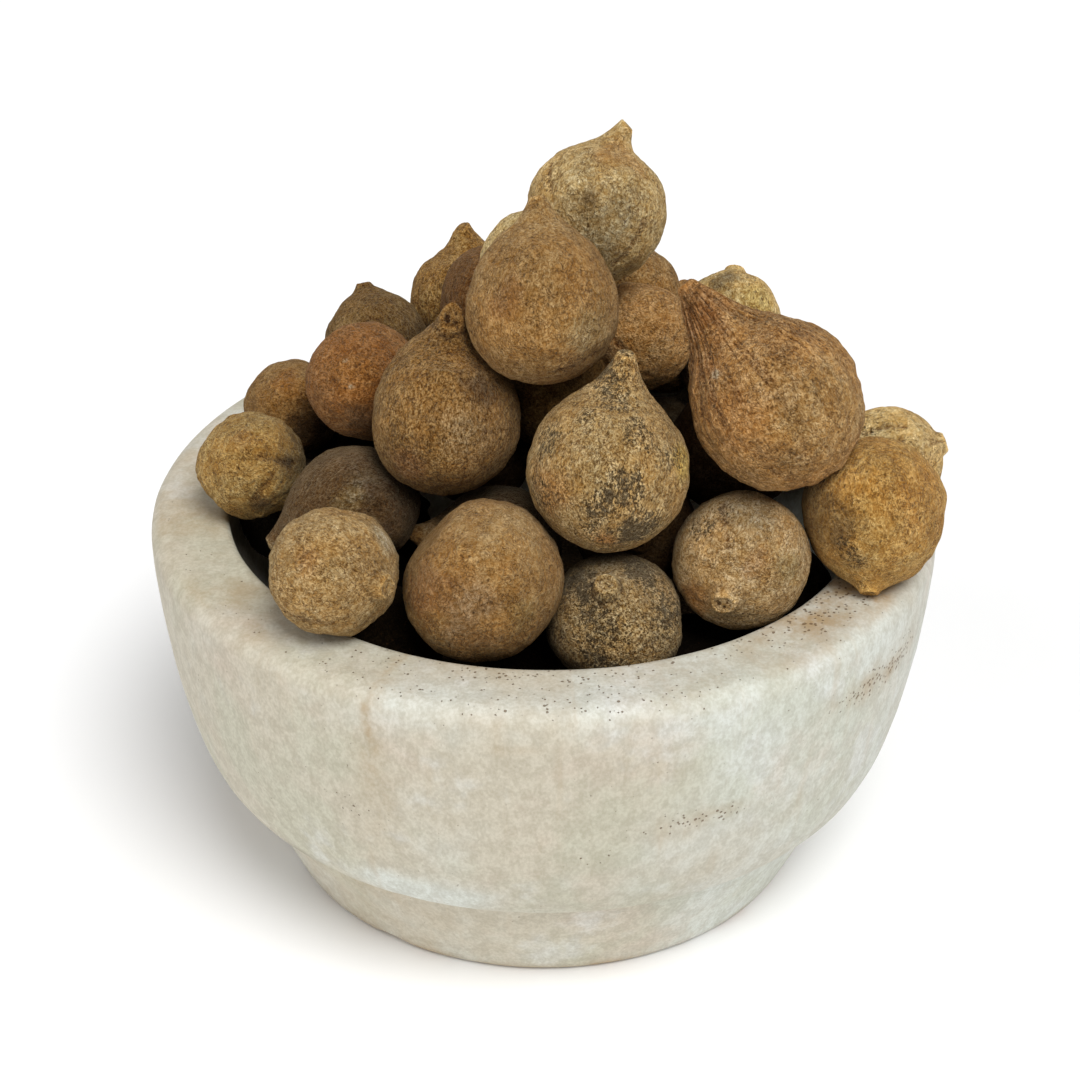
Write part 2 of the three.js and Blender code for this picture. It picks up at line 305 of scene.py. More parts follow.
# Patches: the paint, how far right and up of the middle of the fruit's shown side in body
# radii, the size in body radii, and the strength. Soot adds soot, and clean takes it away.
PATCHES = {
    "peak": [
        ("grey", 0, -0.45, 0.8, 0.5), ("shade", -0.12, 0.06, 0.16, 0.5),
        ("soot", -0.66, 0.35, 0.22, 0.45), ("orange", 0.35, 0.7, 0.4, 0.4),
        ("soot", 0.05, 1.25, 0.1, 0.5),
    ],
    "high_front": [
        ("cream", 0, 1, 0.55, 0.4), ("rust", -0.5, 0.1, 0.3, 0.3), ("khaki", 0.6, -0.35, 0.4, 0.6),
        ("shade", 0.4, -0.78, 0.2, 0.4),
    ],
    "big_pear": [
        ("rust", -0.95, 0.5, 0.5, 0.4), ("rust", -0.6, -0.15, 0.5, 0.2),
        ("rust", -0.95, 1.1, 0.3, 0.3), ("khaki", 0.6, -0.2, 0.75, 0.5),
        ("white", -0.73, 0.28, 0.05, 0.9), ("shade", 0, -0.75, 0.3, 0.3),
    ],
    "front_pear": [
        ("soot", 0, 0, 2.5, 0.3), ("soot", 0.12, 1.3, 0.22, 0.9), ("soot", 0.02, 0.85, 0.26, 0.7),
        ("soot", -0.25, 0.6, 0.2, 0.5), ("soot", -0.75, 0.35, 0.25, 0.5),
        ("soot", 0.35, 0.42, 0.2, 0.5), ("soot", 0.75, 0.1, 0.3, 0.45),
        ("soot", 0.18, -0.28, 0.28, 0.8), ("soot", -0.1, -0.5, 0.22, 0.75),
        ("soot", 0.4, -0.72, 0.35, 0.75), ("soot", 0, -0.9, 0.5, 0.45),
        ("soot", -0.85, -0.3, 0.3, 0.4), ("gold", 0.9, 0.05, 0.3, 0.95),
        ("orange", -0.75, -0.25, 0.35, 0.5), ("orange", -0.05, -0.85, 0.18, 0.9),
        ("khaki", 0, 0.1, 0.4, 0.5),
    ],
    "yellow_nub": [("gold", 0.55, 0.35, 0.4, 0.6), ("grey", -0.1, 0.8, 0.35, 0.8)],
    "right_rim": [
        ("soot", -0.4, -0.6, 0.3, 0.65), ("soot", -0.8, 0.3, 0.4, 0.45),
        ("shade", -0.8, -0.1, 0.55, 0.5), ("shade", -0.45, -0.6, 0.35, 0.4),
        ("orange", 0.6, 0.1, 0.6, 0.3),
    ],
    "front_right": [
        ("soot", -0.66, 0.42, 0.26, 0.65), ("soot", -0.3, 0.75, 0.3, 0.4),
        ("orange", -0.74, -0.5, 0.35, 0.8), ("rust", 0.1, 0, 0.25, 0.3),
        ("grey", 0.1, 0.7, 0.45, 0.5), ("olive", 0.6, -0.1, 0.35, 0.5),
    ],
    "front_sooty": [
        ("soot", 0, 0, 2.5, 0.4), ("soot", 0, -0.85, 0.5, 1.2), ("soot", -0.5, 0.6, 0.45, 1),
        ("soot", 0.3, 0.75, 0.4, 0.95), ("soot", 0.8, 0.1, 0.4, 0.7),
        ("soot", -0.2, -0.1, 0.5, 0.5), ("khaki", 0.05, 0, 0.4, 0.5),
        ("clean", -0.15, 0.47, 0.15, 0.8),
    ],
    "left_pear": [
        ("shade", 0.5, 0.42, 0.32, 0.85), ("pale", 0.35, -0.2, 0.5, 0.35),
        ("rust", -0.45, -0.6, 0.35, 0.4), ("soot", -0.1, 0.75, 0.2, 0.3),
    ],
    "rusty": [
        ("orange", -0.1, 0, 0.4, 0.4), ("shade", 0.1, -0.7, 0.45, 0.6),
        ("white", -0.15, -0.15, 0.04, 0.8), ("white", -0.25, 0.27, 0.03, 0.8),
    ],
    "left_back": [("orange", 0, 0.4, 0.4, 0.4), ("shade", 0.6, -0.3, 0.6, 0.8)],
    "left_lumpy": [
        ("shade", 0.3, -0.75, 0.32, 0.8), ("shade", 0.75, 0, 0.3, 0.7),
        ("orange", -0.1, 0.4, 0.3, 0.3),
    ],
    "dark_stalk": [("tan", -1.2, 0.1, 0.35, 0.85), ("soot", -1.5, 0.1, 0.06, 0.9)],
    "left_lying": [
        ("grey", 0.25, 0.35, 0.35, 0.45), ("khaki", 0, 0.1, 0.3, 0.45),
        ("khaki", 0.35, -0.25, 0.14, 0.6), ("shade", 0.1, 0.75, 0.4, 0.5),
        ("shade", 0.8, 0.2, 0.6, 0.9), ("white", -1.3, -0.6, 0.1, 0.6),
    ],
    "left_pale": [
        # the white patch on the right edge is a painted highlight
        ("white", 0.85, 0.45, 0.35, 0.85), ("orange", -0.35, 0.15, 0.3, 0.4),
        ("soot", 0.95, 0.25, 0.1, 0.6),
    ],
    "front_round": [
        ("mauve", -0.15, -0.4, 0.5, 0.45), ("rust", -0.7, -0.1, 0.45, 0.4),
        # the large cream patch at the upper right is a painted highlight
        ("olive", 0.5, -0.4, 0.3, 0.4), ("cream", 0.3, 0.6, 0.6, 0.45),
        ("cream", -0.24, 0.4, 0.06, 0.8),
    ],
    "under_peak": [("shade", -0.6, -0.5, 0.5, 0.4), ("soot", -0.5, 0.15, 0.2, 0.4)],
    "behind_left": [("rust", 0.2, 0.2, 0.6, 0.5)],
    "right_nub": [("soot", -0.45, 0.5, 0.2, 0.7), ("olive", -0.2, 0.2, 0.5, 0.3)],
    "back_nub": [
        ("soot", 0.1, 0.75, 0.3, 0.5), ("khaki", -0.5, 0.3, 0.3, 0.5),
        ("shade", 0.2, -0.2, 0.5, 0.6),
    ],
}

# Creases: from and to, each as right and up in body radii, then depth and width in millimetres
CREASES = {
    "peak": [((-0.66, 0.62), (-0.69, 0.2), 0.45, 0.5), ((0.66, -0.2), (0.2, -0.85), 0.3, 0.6)],
    "high_front": [((0.1, -0.86), (0.7, -0.6), 0.35, 0.5)],
    "left_lumpy": [((0.25, 0.12), (0.85, 0), 0.6, 0.6), ((0.5, -0.2), (0.1, -0.7), 0.35, 0.6)],
    "under_peak": [((-0.75, 0.4), (-0.2, -0.4), 0.35, 0.8)],
    "right_nub": [((-0.5, 0.5), (0.3, 0.6), 0.5, 0.5), ((-0.6, 0.1), (0.2, 0.35), 0.35, 0.5)],
    "left_lying": [((-0.3, -0.1), (0.5, -0.05), 0.3, 0.5)],
    "left_pale": [((-0.9, -0.35), (-0.2, -0.75), 0.35, 0.6)],
    "front_right": [((-0.3, 0.85), (-0.25, 0.2), 0.3, 0.7)],
}
# How strong the grain's light and dark is on a skin, where it isn't the usual
GRIT = {
    "left_pear": 0.95,
    "left_lying": 0.75,
    "front_sooty": 1.0,
    "back_pear": 0.9,
    "back_nub": 0.9,
    "rusty": 0.72,
    "behind_left": 0.8,
    "peak": 0.5,
    "front_round": 0.45,
    "right_nub": 0.22,
    "right_rim": 0.5,
    "left_lumpy": 0.5,
}
USUAL_GRIT = 0.6
# A side pressed flat: how far right and up, and its depth, in body radii
PRESSED = {"front_round": (-0.75, 0.65, 0.165)}
# A wart: how far right and up and how wide in body radii, and how high in millimetres
WARTS = {"front_round": (-0.24, 0.4, 0.07, 0.8)}


def from_srgb(colour):
    """Linear red, green and blue of a colour given as seen, 0 to 255"""
    share = np.array(colour, float) / 255
    return np.where(share < 0.04045, share / 12.92, ((share + 0.055) / 1.055) ** 2.4)


def corner_values(cells, seed):
    """A repeatable value from -1 to 1 for each whole-numbered cell"""
    value = cells[:, 0] * 374761393 + cells[:, 1] * 668265263 + cells[:, 2] * 1440670441
    value = value + seed * 1013904223
    value = (value ^ (value >> 13)) & 0xFFFFFFFF
    value = (value * 1274126177) & 0xFFFFFFFF
    value = value ^ (value >> 16)
    return (value & 0xFFFF) / 32767.5 - 1


def noise(points, size, seed):
    """Smooth unevenness from -1 to 1, in lumps about size across"""
    scaled = points / size
    cells = np.floor(scaled).astype(np.int64)
    part = scaled - cells
    part = part * part * (3 - 2 * part)
    total = np.zeros(len(points))
    for corner in np.ndindex(2, 2, 2):
        weight = np.prod(np.where(corner, part, 1 - part), axis=1)
        total += weight * corner_values(cells + np.array(corner), seed)
    return total


def ramp(low, high, values):
    """Goes smoothly from 0 at low to 1 at high"""
    share = np.clip((values - low) / (high - low), 0, 1)
    return share * share * (3 - 2 * share)


def bell(values, middle, width):
    """1 at the middle, fading out to both sides"""
    return np.exp(-(((values - middle) / width) ** 2))


def about_axis(out, turn, up):
    return np.stack([out * np.cos(turn), out * np.sin(turn), up], 1)


def lengths(vectors):
    return np.linalg.norm(vectors, axis=1)


def unit(vector):
    return np.array(vector, float) / np.linalg.norm(vector)


def directions_of(points):
    return points / np.maximum(1e-6, lengths(points))[:, None]


# A fruit


def skin_distance(angle, end, length, crown):
    """Distance from the body's centre to the skin, for a body radius of 1. The neck is a cone
    down to where it comes nearest to the centre, and rounds off from there."""
    along = np.cos(angle)
    half = np.where(along > 0, length * crown, length)
    body = 1 / np.hypot(np.sin(angle), along / half)
    on_cone = np.minimum(angle, math.atan(1 / end.slope))
    ahead = np.cos(on_cone)
    cone = (end.scar + end.slope * end.reach) / (np.sin(on_cone) + end.slope * ahead)
    flat = end.reach / ahead
    edge = np.maximum(0, TIP_WEAR - np.abs(cone - flat))
    tip = np.minimum(cone, flat) - edge**2 / (4 * TIP_WEAR)
    neck = tip * np.cos(np.minimum(angle - on_cone, math.pi / 2))
    blend = np.maximum(0, NECK_FILLET - np.abs(body - neck))
    return np.maximum(body, neck) + blend**2 / (4 * NECK_FILLET)


def polar_grid(rings, sides):
    """Angles from the stalk and turns about it: the tip, the rings and the far end"""
    steps = math.pi * (np.arange(1, rings + 1) / (rings + 1)) ** RING_SPREAD
    turns = 2 * math.pi * np.arange(sides) / sides
    angle = np.concatenate([[0], np.repeat(steps, sides), [math.pi]])
    return angle, np.concatenate([[0], np.tile(turns, rings), [0]])


def polar_faces(rings, sides):
    side = np.arange(sides)
    following = (side + 1) % sides
    last = rings * sides + 1
    lowest = 1 + (rings - 1) * sides
    faces = [np.stack([0 * side, 1 + side, 1 + following], 1)]
    for ring in range(rings - 1):
        upper = 1 + ring * sides
        lower = upper + sides
        faces.append(np.stack([upper + side, lower + side, lower + following], 1))
        faces.append(np.stack([upper + side, lower + following, upper + following], 1))
    faces.append(np.stack([lowest + side, 0 * side + last, lowest + following], 1))
    return np.concatenate(faces)


def stalk_direction(turn, rise):
    turn, rise = math.radians(turn), math.radians(rise)
    level = math.cos(rise)
    return np.array([level * math.cos(turn), level * math.sin(turn), math.sin(rise)])


def turned_to(stalk):
    """The matrix that turns +Z to the stalk's direction"""
    turn = Vector((0, 0, 1)).rotation_difference(Vector(stalk))
    return np.array(turn.to_matrix())


def shown_side(right, up):
    """The direction from a fruit's centre to a place on its shown side, in body radii"""
    down = math.radians(CAMERA_DOWN)
    toward = math.sqrt(max(EDGE_ON, 1 - right * right - up * up))
    sideways = np.array([1, 0, 0])
    upward = np.array([0, math.sin(down), math.cos(down)])
    outward = np.array([0, -math.cos(down), math.sin(down)])
    return unit(right * sideways + up * upward + toward * outward)


def folded(turn, height, seed):
    """Lengthwise folds about 1 mm apart: 1 on a ridge, 0 in a valley, wandering and broken"""
    place = about_axis(6.5, turn, 0.9 * height)
    wander = 0.5 * noise(0.4 * place + 5, 1.0, seed)
    fine = np.abs(noise(place + wander[:, None], 0.8, seed + 1))
    coarse = np.abs(noise(place + wander[:, None], 1.9, seed + 2))
    return np.clip(1.6 * np.minimum(fine, 0.75 * coarse + 0.12), 0, 1) ** 0.7


def flattened(points, depth, radius, seed):
    """Presses a few flat sides into the body, well away from the stalk"""
    chosen = np.random.default_rng(seed)
    for _ in range(FLAT_SIDES):
        rise = chosen.uniform(-0.9, 0.45)
        turn = chosen.uniform(0, 2 * math.pi)
        level = math.sqrt(1 - rise * rise)
        side = np.array([level * math.cos(turn), level * math.sin(turn), rise])
        over = points @ side - radius * (1 - depth * chosen.uniform(0.5, 1.3))
        soft = 0.02 * radius
        over = soft * np.logaddexp(0, over / soft)
        points = points - 0.85 * over[:, None] * side
    return points


def uneven(points, shape, radius, seed):
    """Lumps, a few flattened sides and small dents"""
    lumps = 0.6 * noise(points, 0.95 * radius, seed + 2)
    lumps += 0.45 * noise(points, 0.5 * radius, seed + 3)
    lumps += 0.22 * noise(points, 0.26 * radius, seed + 12)
    points = points * (1 + shape.lumps * lumps)[:, None]
    points = flattened(points, shape.flats, radius, seed)
    small = (0.17 + 0.35 * shape.body_wrinkle) * noise(points, 2.6, seed + 4)
    small += (0.08 + 0.4 * shape.body_wrinkle) * noise(points, 1.2, seed + 5)
    return points + directions_of(points) * small[:, None]


def shaped(fruit, shape, bend, fineness, seed):
    """Points of the skin about the body's centre, with the stalk along +Z, the scar and folds"""
    end = ENDS[fruit.end]
    radius = fruit.width / 2
    angle, turn = polar_grid(*fineness)
    distance = radius * skin_distance(angle, end, fruit.length, fruit.crown)
    out = distance * np.sin(angle)
    up = distance * np.cos(angle)
    height = up / radius

    # five blunt angles round the body, and lengthwise folds that gather at the neck
    out = out * (1 + shape.angles * np.clip(1 - height**2, 0, 1) * np.cos(5 * turn + seed))
    gathered = ramp(0.2, 1.0, height)
    wrinkle = shape.body_wrinkle + (shape.wrinkle - shape.body_wrinkle) * gathered
    ridges = folded(turn, height, seed)
    away_from_tip = ramp(0.05, 0.25, out / radius)
    out = np.maximum(0, out + wrinkle * (ridges - 0.7) * away_from_tip)
    folds = (1 - ridges) ** 1.5 * ramp(0.1, 0.5, wrinkle) * away_from_tip

    points = uneven(about_axis(out, turn, up), shape, radius, seed)
    scar = stalk_scar(points, end.scar * radius, end.lift, height, seed)
    cap = ramp(1.5, 1.0, np.hypot(points[:, 0], points[:, 1]) / (end.scar * radius))
    points[:, 2] -= cap * (height > 0.8) * (points[:, :2] @ (SCAR_SLANT * np.radians(bend[:2])))
    return points, scar, folds


def stalk_scar(points, size, lift, height, seed):
    """Raises the rough stub where the stalk broke off. Returns above 0 on the stub and most on
    its rim, and below 0 in its pits and in the cracks inside and outside the rim"""
    out = np.hypot(points[:, 0], points[:, 1]) / size
    out = out * (1 + 0.14 * noise(points, 1.7, seed + 7))
    near = height > 0.8
    broken = ramp(-0.8, 0.1, noise(points, 1.2, seed + 13))
    stub = ramp(1.5, 1.0, out) * near
    rim = bell(out, 0.95, 0.22) * near
    moat = bell(out, 0.58, 0.2) * near * broken
    pits = ramp(0.2, 0.6, noise(points, 0.7, seed + 6)) * ramp(0.6, 0.4, out) * near
    crack = bell(out, 1.5, 0.18) * near * broken * ramp(0.3, 0.5, lift)
    points[:, 2] += lift * (stub + 0.35 * rim - 0.35 * moat - 0.4 * pits - 0.2 * crack)
    return 0.5 * stub + 0.5 * rim - 1.1 * moat - 1.1 * pits - 0.7 * crack


def bent(points, bend, fruit):
    """Turns the neck over towards the side, and by the degrees, that bend gives along x and y"""
    amount = math.radians(math.hypot(bend[0], bend[1]))
    if amount == 0:
        return points
    side = unit([bend[0], bend[1], 0])
    start = 0.75 * fruit.width / 2
    reach = ENDS[fruit.end].reach * fruit.width / 2 - start
    turn = amount * np.clip((points[:, 2] - start) / reach, 0, 1)
    up = np.maximum(0, points[:, 2] - start)
    out = points @ side
    still = points - out[:, None] * side
    still[:, 2] = np.minimum(points[:, 2], start) + up * np.cos(turn) - out * np.sin(turn)
    return still + (out * np.cos(turn) + up * np.sin(turn))[:, None] * side


def arc_distance(directions, start, finish):
    """Distance in body radii from each direction to the arc between two others"""
    steps = [unit(start + (finish - start) * share) for share in np.linspace(0, 1, 13)]
    return np.min([lengths(directions - step) for step in steps], axis=0)


def creased(points, fruit, folds):
    """Presses in the creases, which join the folds, and any flat side, and raises any wart"""
    radius = fruit.width / 2
    directions = directions_of(points)
    moved = np.zeros(len(points))
    for start, finish, depth, width in CREASES.get(fruit.name, []):
        away = arc_distance(directions, shown_side(*start), shown_side(*finish)) * radius
        fold = bell(away + 0.35 * noise(points, 1.6, 91), 0, width)
        moved -= depth * fold
        folds += 0.8 * fold
    if fruit.name in PRESSED:
        right, up, depth = PRESSED[fruit.name]
        over = points @ shown_side(right, up) - (1 - depth) * radius
        moved -= 0.5 * np.logaddexp(0, 2 * over)
    if fruit.name in WARTS:
        right, up, size, height = WARTS[fruit.name]
        away = lengths(directions - shown_side(right, up))
        moved += height * bell(away, 0, size)
    return points + directions * moved[:, None]


# Sets how much painted shade each skin gets
def crowding(points, fruit):
    """How shut in each point of a fruit is by its neighbours and the bowl, 0 where it is open"""
    outward = directions_of(points)
    places = points + np.array([fruit.x, fruit.y, fruit.z])
    shut = 1.3 * ramp(BOWL_HEIGHT + 4, BOWL_HEIGHT - 12, places[:, 2])
    spheres = [(other.x, other.y, other.z, other.width) for other in FRUITS]
    for x, y, z, width, *_ in spheres + LOWER_FRUITS:
        if (x, y, z) == (fruit.x, fruit.y, fruit.z):
            continue
        across = np.array([x, y, z]) - places
        far = lengths(across)
        facing = np.clip(np.sum(across * outward, axis=1) / far, 0, 1)
        above = 0.6 + 0.4 * across[:, 2] / far
        shut += facing * above * np.minimum(1, width / 2 / far) ** 2
    return shut


def painted(points, fruit, seed):
    """The tone, opaque and with painted shade where shut in, and the soot of each vertex"""
    radius = fruit.width / 2
    directions = directions_of(points)
    tone = np.tile(from_srgb(SKINS[fruit.skin]), (len(points), 1))
    cloud = noise(points, 0.7 * radius, seed + 7)
    warm = noise(points, 0.9 * radius, seed + 8)
    tone = tone * (1 + 0.10 * cloud)[:, None] * (1 + 0.03 * warm[:, None] * np.array([1, 0, -2]))
    soot = 0.12 * ramp(0.2, 0.9, noise(points, 0.5 * radius, seed + 9))
    ragged = 0.5 * noise(points, 0.3 * radius, seed + 10)
    ragged += 0.25 * noise(points, 0.12 * radius, seed + 11)
    for paint, right, up, size, strength in PATCHES.get(fruit.name, []):
        away = lengths(directions - shown_side(right, up)) / size
        share = strength * ramp(0, 0.8, 1.2 + 0.8 * ragged - away)
        if paint == "soot":
            soot = soot + share
        elif paint == "clean":
            soot = soot * (1 - share)
        else:
            tone = tone + share[:, None] * (from_srgb(PAINTS[paint]) - tone)
    # painted shade where the skin is shut in, and more in the layer below
    shade = 1 - DEEP_SHADE * ramp(0.42, 1.4, crowding(points, fruit))
    if fruit.name == "lower":
        shade = shade * (1 - LOWER_SHADE)
    return np.insert(tone * shade[:, None], 3, 1, axis=1), soot


def fruit_mesh(fruit, fineness, seed):
    """Points in the bowl's frame, faces, and what the skin material reads"""
    shape = SHAPES.get(fruit.name, PLAIN)
    upright_to_stalk = turned_to(stalk_direction(fruit.turn, fruit.rise))
    bend = np.array(shape.bend) @ upright_to_stalk
    points, scar, folds = shaped(fruit, shape, bend, fineness, seed)
    grain = points + GRAIN_APART * np.array([seed % 7, seed % 5, seed % 3])
    points = bent(points, bend, fruit) @ upright_to_stalk.T
    tone, soot = painted(points, fruit, seed)
    points = creased(points, fruit, folds)
    points = points + np.array([fruit.x, fruit.y, fruit.z])
    return {
        "points": points,
        "faces": polar_faces(*fineness),
        "tone": tone,
        "soot": soot,
        "scar": scar,
        "fold": folds,
        "grain": grain,
        "grit": np.full(len(points), GRIT.get(fruit.name, USUAL_GRIT)),
    }


def joined(parts):
    """Several fruits as one mesh"""
    starts = np.cumsum([0] + [len(part["points"]) for part in parts])
    whole = {key: np.concatenate([part[key] for part in parts]) for key in parts[0]}
    whole["faces"] = np.concatenate([part["faces"] + n for part, n in zip(parts, starts)])
    return whole


# How a value at each vertex is kept, by how many numbers it has
LAYERS = {1: ("FLOAT", "value"), 3: ("FLOAT_VECTOR", "vector"), 4: ("FLOAT_COLOR", "color")}


def placed(name, data):
    item = bpy.data.objects.new(name, data)
    bpy.context.scene.collection.objects.link(item)
    return item


def mesh_piece(name, points, faces, values, material):
    """A smooth mesh object, with values that its material reads at each vertex"""
    mesh = bpy.data.meshes.new(name)
    mesh.from_pydata((points * MM).tolist(), [], faces.tolist())
    mesh.polygons.foreach_set("use_smooth", np.ones(len(mesh.polygons), bool))
    for key, numbers in values.items():
        kind, field = LAYERS[numbers.size // len(numbers)]
        layer = mesh.attributes.new(key, kind, "POINT")
        layer.data.foreach_set(field, numbers.astype(np.float32).ravel())
    mesh.materials.append(material)
    return placed(name, mesh)


def fruit_pieces(skin, buried_skin):
    """One piece for each kind of end, and one for the layer below"""
    kinds = {}
    for number, fruit in enumerate(FRUITS):
        fineness = WRINKLED if fruit.name == "big_pear" else SEEN
        kinds.setdefault(fruit.end, []).append(fruit_mesh(fruit, fineness, 11 * number + 3))
    for number, (x, y, z, width, turn, rise) in enumerate(LOWER_FRUITS):
        lower_skin = LOWER_SKINS[number % len(LOWER_SKINS)]
        fruit = Fruit("lower", x, y, z, width, "buried", turn, rise, lower_skin)
        kinds.setdefault("buried", []).append(fruit_mesh(fruit, UNSEEN, 13 * number + 400))
    pieces = []
    for kind, parts in kinds.items():
        whole = joined(parts)
        points, faces = whole.pop("points"), whole.pop("faces")
        material = buried_skin if kind == "buried" else skin
        pieces.append(mesh_piece(f"fruits_{kind}", points, faces, whole, material))
    return pieces


def core_piece(material):
    """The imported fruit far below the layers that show, as one low dark mound"""
    angle, turn = polar_grid(*CORE_FINENESS)
    height = CORE_MIDDLE + CORE_RISE * np.cos(angle)
    points = about_axis(CORE_RADIUS * np.sin(angle), turn, height)
    points[:, 2] += 3 * noise(points, 14, 5)
    count = len(points)
    values = {
        "tone": np.tile([*from_srgb(SKINS["dark"]), 1], (count, 1)),
        "soot": np.full(count, 0.5),
        "scar": np.zeros(count),
        "fold": np.zeros(count),
        "grain": points,
        "grit": np.full(count, USUAL_GRIT),
    }
    return mesh_piece("packed_core", points, polar_faces(*CORE_FINENESS), values, material)


# The bowl


def outside_profile():
    """Distances from the axis and heights, from the middle of the underside to the rim's top"""
    foot = GROOVE_HEIGHT + LIP_BEVEL
    points = [
        (0, 0),
        (FOOT_RADIUS - FOOT_EDGE, 0),
        (FOOT_RADIUS + FOOT_EDGE / 2, FOOT_EDGE),
        (FOOT_TOP_RADIUS, GROOVE_HEIGHT),
        (LIP_RADIUS - LIP_BEVEL, GROOVE_HEIGHT),
    ]
    for turn in np.linspace(0, math.pi / 2, 40):
        climb = 1 - math.cos(turn)
        out = LIP_RADIUS + BELLY_SWELL * math.sin(turn) + BELLY_FLARE * climb
        points.append((out, foot + (BELLY_TOP - foot) * climb))
    for turn in np.linspace(0, math.pi / 2, 12):
        out = RIM_RADIUS - SHOULDER_WIDTH * (1 - math.cos(turn))
        points.append((out, BOWL_HEIGHT - SHOULDER_HEIGHT * (1 - math.sin(turn))))
    points.append((MOUTH_RADIUS + MOUTH_BEVEL, BOWL_HEIGHT))
    return points


def inside_profile():
    points = []
    depth = BOWL_HEIGHT - MOUTH_BEVEL - HOLLOW_FLOOR
    power = 2 / HOLLOW_FULLNESS
    for turn in np.linspace(0, math.pi / 2, 60):
        out = MOUTH_RADIUS * max(0, math.cos(turn)) ** power
        points.append((out, BOWL_HEIGHT - MOUTH_BEVEL - depth * math.sin(turn) ** power))
    points[-1] = (0, HOLLOW_FLOOR)
    return points


def spaced(points, spacing):
    """The line through points, again as evenly spaced ones"""
    line = np.array(points, float)
    along = np.concatenate([[0], np.cumsum(lengths(np.diff(line, axis=0)))])
    even = np.linspace(0, along[-1], max(2, round(along[-1] / spacing) + 1))
    return np.stack([np.interp(even, along, line[:, 0]), np.interp(even, along, line[:, 1])], 1)


def worn(line, spacing):
    """Rounds a closely spaced line's corners off"""
    reach = int(3 * EDGE_WEAR / spacing)
    steps = np.arange(-reach, reach + 1) * spacing
    weights = np.exp(-0.5 * (steps / EDGE_WEAR) ** 2)
    weights = weights / weights.sum()
    padded = np.pad(line, ((reach, reach), (0, 0)), mode="edge")
    rounded = np.stack([np.convolve(padded[:, k], weights, "valid") for k in (0, 1)], 1)
    rounded[0], rounded[-1] = line[0], line[-1]
    return rounded


def bowl_profile():
    """The whole line, in close rings of vertices where it shows and wider ones elsewhere"""
    outside = outside_profile()
    whole = worn(spaced(outside + inside_profile(), PROFILE_STEP), PROFILE_STEP)
    length = lengths(np.diff(outside, axis=0)).sum()
    shown = round((length + SHOWN_INSIDE) / PROFILE_STEP)
    under = round((FOOT_RADIUS - SHOWN_UNDER) / PROFILE_STEP)
    return np.concatenate(
        [
            spaced(whole[: under + 1], INSIDE_SPACING * 2)[1:-1],
            spaced(whole[under : shown + 1], OUTSIDE_SPACING)[:-1],
            spaced(whole[shown:], INSIDE_SPACING)[:-1],
        ]
    )


def spot(turn, height, middle, size):
    """1 at a place given as compass turn and height, or distance out, fading out round it"""
    apart = (turn - middle[0] + 180) % 360 - 180
    across = np.radians(apart) * RIM_RADIUS / size[0]
    return np.exp(-(across**2 + ((height - middle[1]) / size[1]) ** 2))


def spots(turn, height, places, ragged=0):
    """All the spots of a table together"""
    total = 0
    for even, rough, middle, size in places:
        total = total + (even + rough * ragged) * spot(turn, height, middle, size)
    return total


# Where the bowl's vertices are. inner, side, top and foot are 1 inside, outside, on the rim's top
# and on the foot, and 0 elsewhere.
Spread = namedtuple("Spread", "points out turn height inner side top foot")


def stains_and_shade(at):
    ragged = 0.5 + 0.5 * noise(at.points, 5, 21)
    wander = at.turn + 0.7 * noise(at.points, 3, 26)
    stain_and_shade = spots(wander, at.height, CRACKS, ragged) * at.side
    stain_and_shade += spots(at.turn, at.height, STAINS, ragged) * at.side

    # round the foot, and painted shade on the foot's left and just below the rim
    stain_and_shade += 0.55 * ramp(3.2, 0.4, at.height) * at.side * (0.3 + ragged)
    patchy = ramp(0.2, 0.7, noise(at.points, 9, 22))
    stain_and_shade += 0.35 * ramp(6, 0, at.height) * at.side * patchy
    # painted shade: the foot darker towards its left, under the lip
    stain_and_shade += 0.26 * at.foot * ramp(5, -35, at.points[:, 0])
    # painted shade: a band below the rim, where the light falls full on the shoulder
    stain_and_shade += 0.12 * bell(at.height, 72.6, 1.8) * at.side

    # on the rim's top
    stain_and_shade += 0.3 * at.top * ramp(-0.1, 0.8, noise(at.points, 12, 23))
    stain_and_shade += 0.9 * at.top * spot(at.turn, at.out, (-38, 67), (24, 8)) * (0.5 + ragged)
    return stain_and_shade + 0.15 * at.top * ramp(-100, -140, at.turn) * (0.4 + ragged)


def dirt_and_shade(at):
    """Under the lip, on it at the left, faintly over the front, and down the hollow's left"""
    # painted shadow of the lip on the foot, with dirt, in a broken band
    under_lip = ramp(GROOVE_HEIGHT - 2.2, GROOVE_HEIGHT - 1.6, at.height) * at.foot
    broken = ramp(-0.35, 0.35, noise(at.points * np.array([1, 1, 0.2]), 9, 24))
    total = under_lip * (0.25 + 0.6 * broken)
    total += 0.6 * spot(at.turn, at.height, (-132, 26), (5, 2)) * at.side
    total += 0.055 * bell(at.turn, -76, 26) * ramp(72, 64, at.height) * (1 - at.foot)
    # painted shade down the hollow's left
    left = ramp(-20, -60, at.points[:, 0])
    return total + 0.1 * at.inner * ramp(74.5, 68, at.height) * left


def pits(at):
    """Along the mouth's front edge, on the rim's right and left, and on the side"""
    front = ramp(-130, -95, at.turn) * ramp(20, -20, at.turn)
    mouth_edge = at.top * ramp(68, 61, at.out)
    total = 0.4 * mouth_edge * front + 0.12 * at.top * front
    total += 0.9 * at.top * spot(at.turn, at.out, (-40, 66), (18, 6))
    total += 0.25 * at.top * ramp(-170, -150, at.turn) * ramp(-90, -120, at.turn)
    return total + spots(at.turn, at.height, PITS) * at.side


